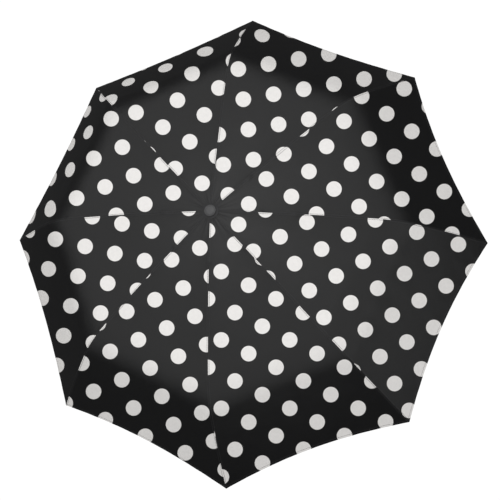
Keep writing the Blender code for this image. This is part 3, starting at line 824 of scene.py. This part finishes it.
def make_closing_strap():
    """Woven band and a press stud, in the place of its plain solid."""
    rib = STRAP_RIB
    end_arc = ARC_LENGTH - 22 * MM
    start_arc = end_arc - STRAP_LENGTH
    width = STRAP_WIDTH
    rows, columns = 36, 8
    row = columns + 1
    points, run = [], []
    for rounded, lift in ((1, 0.9 * MM), (0, 0.2 * MM)):
        for i in range(rows + 1):
            arc = start_arc + (end_arc - start_arc) * i / rows
            for j in range(columns + 1):
                ease = 0.25 * MM * math.cos(math.pi * 2 * j / columns) * rounded
                depth = OUTER_RIB_DEPTH + STRAP_DROP - lift + ease
                points.append(rib_spot(rib, arc, depth, STRAP_SIDE + width * j / columns))
                run.append((arc, width * j / columns))
    count = (rows + 1) * row
    corners = [i * row + j for i in range(rows) for j in range(columns)]
    quads = [(a, a + row, a + row + 1, a + 1) for a in corners]
    rim = list(range(columns)) + [i * row + columns for i in range(rows)]
    rim += [rows * row + j for j in range(columns, 0, -1)] + [i * row for i in range(rows, 0, -1)]
    walls = [(a, b, b + count, a + count) for a, b in zip(rim, rim[1:] + rim[:1])]
    faces = quads + [tuple(v + count for v in q[::-1]) for q in quads] + walls
    mesh = bpy.data.meshes.new("strap_band")
    mesh.from_pydata(points, [], faces)
    bm = bmesh.new()
    bm.from_mesh(mesh)
    bmesh.ops.recalc_face_normals(bm, faces=bm.faces)
    bm.to_mesh(mesh)
    bm.free()
    uv = mesh.uv_layers.new(name="run")
    for loop in mesh.loops:
        uv.data[loop.index].uv = run[loop.vertex_index]
    band = as_piece("strap_band", mesh, STRAP_TAPE, 50)
    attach(band, f"outer_rib_{rib}")
    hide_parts("closing_strap")
    stud_arc = end_arc - 9 * MM
    place = rib_spot(rib, stud_arc, OUTER_RIB_DEPTH + STRAP_DROP + 0.2 * MM, STRAP_SIDE + width / 2)
    way = (rib_spot(rib, stud_arc, 20 * MM) - rib_spot(rib, stud_arc, 0)).normalized()
    profile = [(0, -0.7 * MM), (4.4 * MM, -0.7 * MM), (4.9 * MM, -0.2 * MM), (4.9 * MM, 0.3 * MM),
               (4.2 * MM, 0.8 * MM), (3.0 * MM, 0.9 * MM), (2.4 * MM, 0.5 * MM), (1.9 * MM, 0.6 * MM),
               (1.7 * MM, 1.5 * MM), (0, 1.8 * MM)]
    stud = turned("strap_stud", profile, WIRE_STEEL, 40)
    stand_on(stud, place, way)
    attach(stud, f"outer_rib_{rib}")


def make_grip():
    """Soft-touch grip with finger rings, in the place of the plain barrel."""
    low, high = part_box("handle_grip")
    span = high.z - low.z
    outline = [(0, low.z), (GRIP_RADIUS - 1.2 * MM, low.z), (GRIP_RADIUS - 0.3 * MM, low.z + 0.6 * MM)]
    stations = 60
    rings_start, rings_end, ring_pitch = 0.58, 0.9, 0.08
    for i in range(stations + 1):
        share = 0.02 + 0.96 * i / stations
        swell = math.sin(math.pi * share) ** 0.8
        radius = GRIP_RADIUS - 1.6 * MM * share + 1.1 * MM * swell
        if rings_start < share < rings_end:
            wave = math.cos(2 * math.pi * (share - rings_start) / ring_pitch)
            radius -= 0.55 * MM * (0.5 - 0.5 * wave)
        outline.append((radius, low.z + span * share))
    outline += [(GRIP_RADIUS - 1.9 * MM, high.z), (GRIP_BORE, high.z),
                (GRIP_BORE, low.z + 4 * MM), (0, low.z + 4 * MM)]
    grip = turned("grip_shell", outline, SOFT_BLACK, 72)
    button = [(0, 0), (1.9 * MM, 0), (1.9 * MM, 0.5 * MM), (1.5 * MM, 0.9 * MM), (0, 1 * MM)]
    for name, side in (("pin_plug_front", -1), ("pin_plug_rear", 1)):
        plug = turned(name, button, DARK_PLASTIC, 24)
        seat = Vector((0, side * (GRIP_RADIUS - 0.15 * MM), PIN_HEIGHT))
        stand_on(plug, seat, Vector((0, side, 0)))
        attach(plug, "handle")
    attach(grip, "handle")
    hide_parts("handle_grip")


def make_collar():
    """Bright collar that closes the top of the grip, with a rounded shoulder and a neck groove."""
    low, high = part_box("handle_collar")
    wide = high.x
    tall = high.z - low.z
    outline = [(COLLAR_BORE, low.z), (wide - 0.4 * MM, low.z), (wide, low.z + 0.4 * MM),
               (wide, low.z + 0.22 * tall)]
    steps = 9
    for step in range(1, steps + 1):
        angle = math.radians(90 * step / steps)
        radius = wide - 3.4 * MM * (1 - math.cos(angle))
        outline.append((radius, low.z + tall * (0.22 + 0.4 * math.sin(angle))))
    outline += [(wide - 4.4 * MM, low.z + 0.66 * tall), (wide - 4.4 * MM, low.z + 0.74 * tall),
                (wide - 3.9 * MM, low.z + 0.8 * tall), (wide - 4.6 * MM, high.z - 0.4 * MM),
                (wide - 5.2 * MM, high.z), (COLLAR_BORE, high.z)]
    collar = turned("collar_shell", outline, BRIGHT_STEEL, 96)
    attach(collar, "handle")
    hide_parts("handle_collar")


def dress_frame():
    """Give every carried-over solid its own finish."""
    finishes = {"bright_steel": BRIGHT_STEEL, "dark_steel": RIB_STEEL, "dark_plastic": DARK_PLASTIC,
                "soft_black_plastic": SOFT_BLACK, "black_cloth": PLAIN_CLOTH}
    slots = {part["node"]: part["material_slot"] for part in frame["record"]["subparts"]}
    for name, thing in frame["nodes"].items():
        finish = finishes[slots[name]]
        if name.endswith("_wire"):
            finish = WIRE_STEEL
        if not thing.data.materials:
            thing.data.materials.append(finish)
        for index in range(len(thing.data.materials)):
            thing.data.materials[index] = finish


# ---------------------------------------------------------------- stage

def bright_to_camera(tree, output, seen_by_light):
    """Plain white where it is looked at directly, and its own dimmer light everywhere else."""
    glow = tree.nodes.new("ShaderNodeEmission" if output.bl_idname == "ShaderNodeOutputMaterial"
                          else "ShaderNodeBackground")
    glow.inputs["Color"].default_value = (1, 1, 1, 1)
    glow.inputs["Strength"].default_value = BACKDROP_BRIGHTNESS
    seen = tree.nodes.new("ShaderNodeMixShader")
    direct = tree.nodes.new("ShaderNodeLightPath")
    tree.links.new(direct.outputs["Is Camera Ray"], seen.inputs[0])
    tree.links.new(seen_by_light, seen.inputs[1])
    tree.links.new(glow.outputs[0], seen.inputs[2])
    tree.links.new(seen.outputs[0], output.inputs["Surface"])


def make_floor():
    """Pale seamless floor well below the held umbrella; from underneath it can be seen through."""
    mesh = bpy.data.meshes.new("floor")
    turns = ((-1, -1), (1, -1), (1, 1), (-1, 1))
    corners = [(x * FLOOR_HALF, y * FLOOR_HALF, FLOOR_LEVEL) for x, y in turns]
    mesh.from_pydata(corners, [], [(0, 1, 2, 3)])
    floor = bpy.data.objects.new("floor", mesh)
    bpy.context.scene.collection.objects.link(floor)
    s = Shader("pale_floor")
    s.finish(Base_Color=(0.06, 0.06, 0.06), Roughness=0.9, Specular_IOR_Level=0.1)
    output = s.tree.nodes["Material Output"]
    bright_to_camera(s.tree, output, s.surface.outputs[0])
    from_above = output.inputs["Surface"].links[0].from_socket
    open_below = s.add("ShaderNodeMixShader")
    s.put(open_below.inputs[0], s.add("ShaderNodeNewGeometry").outputs["Backfacing"])
    s.put(open_below.inputs[1], from_above)
    s.put(open_below.inputs[2], s.add("ShaderNodeBsdfTransparent").outputs[0])
    s.tree.links.new(open_below.outputs[0], output.inputs["Surface"])
    mesh.materials.append(s.material)


def area_light(name, place, aim, size, power):
    """A square softbox turned to a point."""
    lamp = bpy.data.lights.new(name, "AREA")
    lamp.size = size
    lamp.energy = power
    thing = bpy.data.objects.new(name, lamp)
    thing.location = place
    thing.rotation_euler = (Vector(aim) - Vector(place)).to_track_quat("-Z", "Y").to_euler()
    thing.visible_camera = False
    bpy.context.scene.collection.objects.link(thing)


def make_lights():
    """White dome overhead that fades out at the horizon, a side fill and one from below."""
    centre = (0, 0, APEX - 100 * MM)
    area_light("overhead", (-0.5, 0.9, 4.0), centre, 3.0, OVERHEAD_POWER)
    area_light("side_fill", (3.4, -1.5, 0.5), centre, 1.8, SIDE_POWER)
    area_light("under_fill", (0, 0, FLOOR_LEVEL + 100 * MM), centre, 1.3, UNDER_POWER)
    world = bpy.data.worlds.new("studio")
    world.use_nodes = True
    tree = world.node_tree
    dome = tree.nodes["Background"]
    direction = tree.nodes.new("ShaderNodeTexCoord")
    split = tree.nodes.new("ShaderNodeSeparateXYZ")
    fade = tree.nodes.new("ShaderNodeMapRange")
    fade.interpolation_type = "SMOOTHSTEP"
    fade.inputs["From Min"].default_value = HORIZON_FADE[0]
    fade.inputs["From Max"].default_value = HORIZON_FADE[1]
    fade.inputs["To Max"].default_value = DOME_BRIGHTNESS
    tree.links.new(direction.outputs["Generated"], split.inputs[0])
    tree.links.new(split.outputs["Z"], fade.inputs["Value"])
    tree.links.new(fade.outputs[0], dome.inputs["Strength"])
    dome.inputs["Color"].default_value = (1, 1, 1, 1)
    bright_to_camera(tree, tree.nodes["World Output"], dome.outputs[0])
    bpy.context.scene.world = world


def make_camera():
    """A camera above and to one side, turned about its own line of sight."""
    place, right, up, back = print_frame()
    lens = bpy.data.cameras.new("camera")
    lens.lens = LENS
    lens.shift_x, lens.shift_y = LENS_SHIFT
    lens.clip_end = 100
    camera = bpy.data.objects.new("camera", lens)
    turn = Matrix((right, up, back)).transposed().to_4x4()
    camera.matrix_world = Matrix.Translation(place) @ turn
    bpy.context.scene.collection.objects.link(camera)
    bpy.context.scene.camera = camera


dress_frame()
make_canopy()
make_crown_dressing()
make_rivets()
for rib_number in range(1, RIBS + 1):
    make_tip(rib_number)
    make_control_wire(rib_number)
    make_cloth_ties(rib_number)
make_closing_strap()
make_grip()
make_collar()
make_floor()
make_lights()
make_camera()
bpy.context.scene.view_settings.view_transform = "Standard"
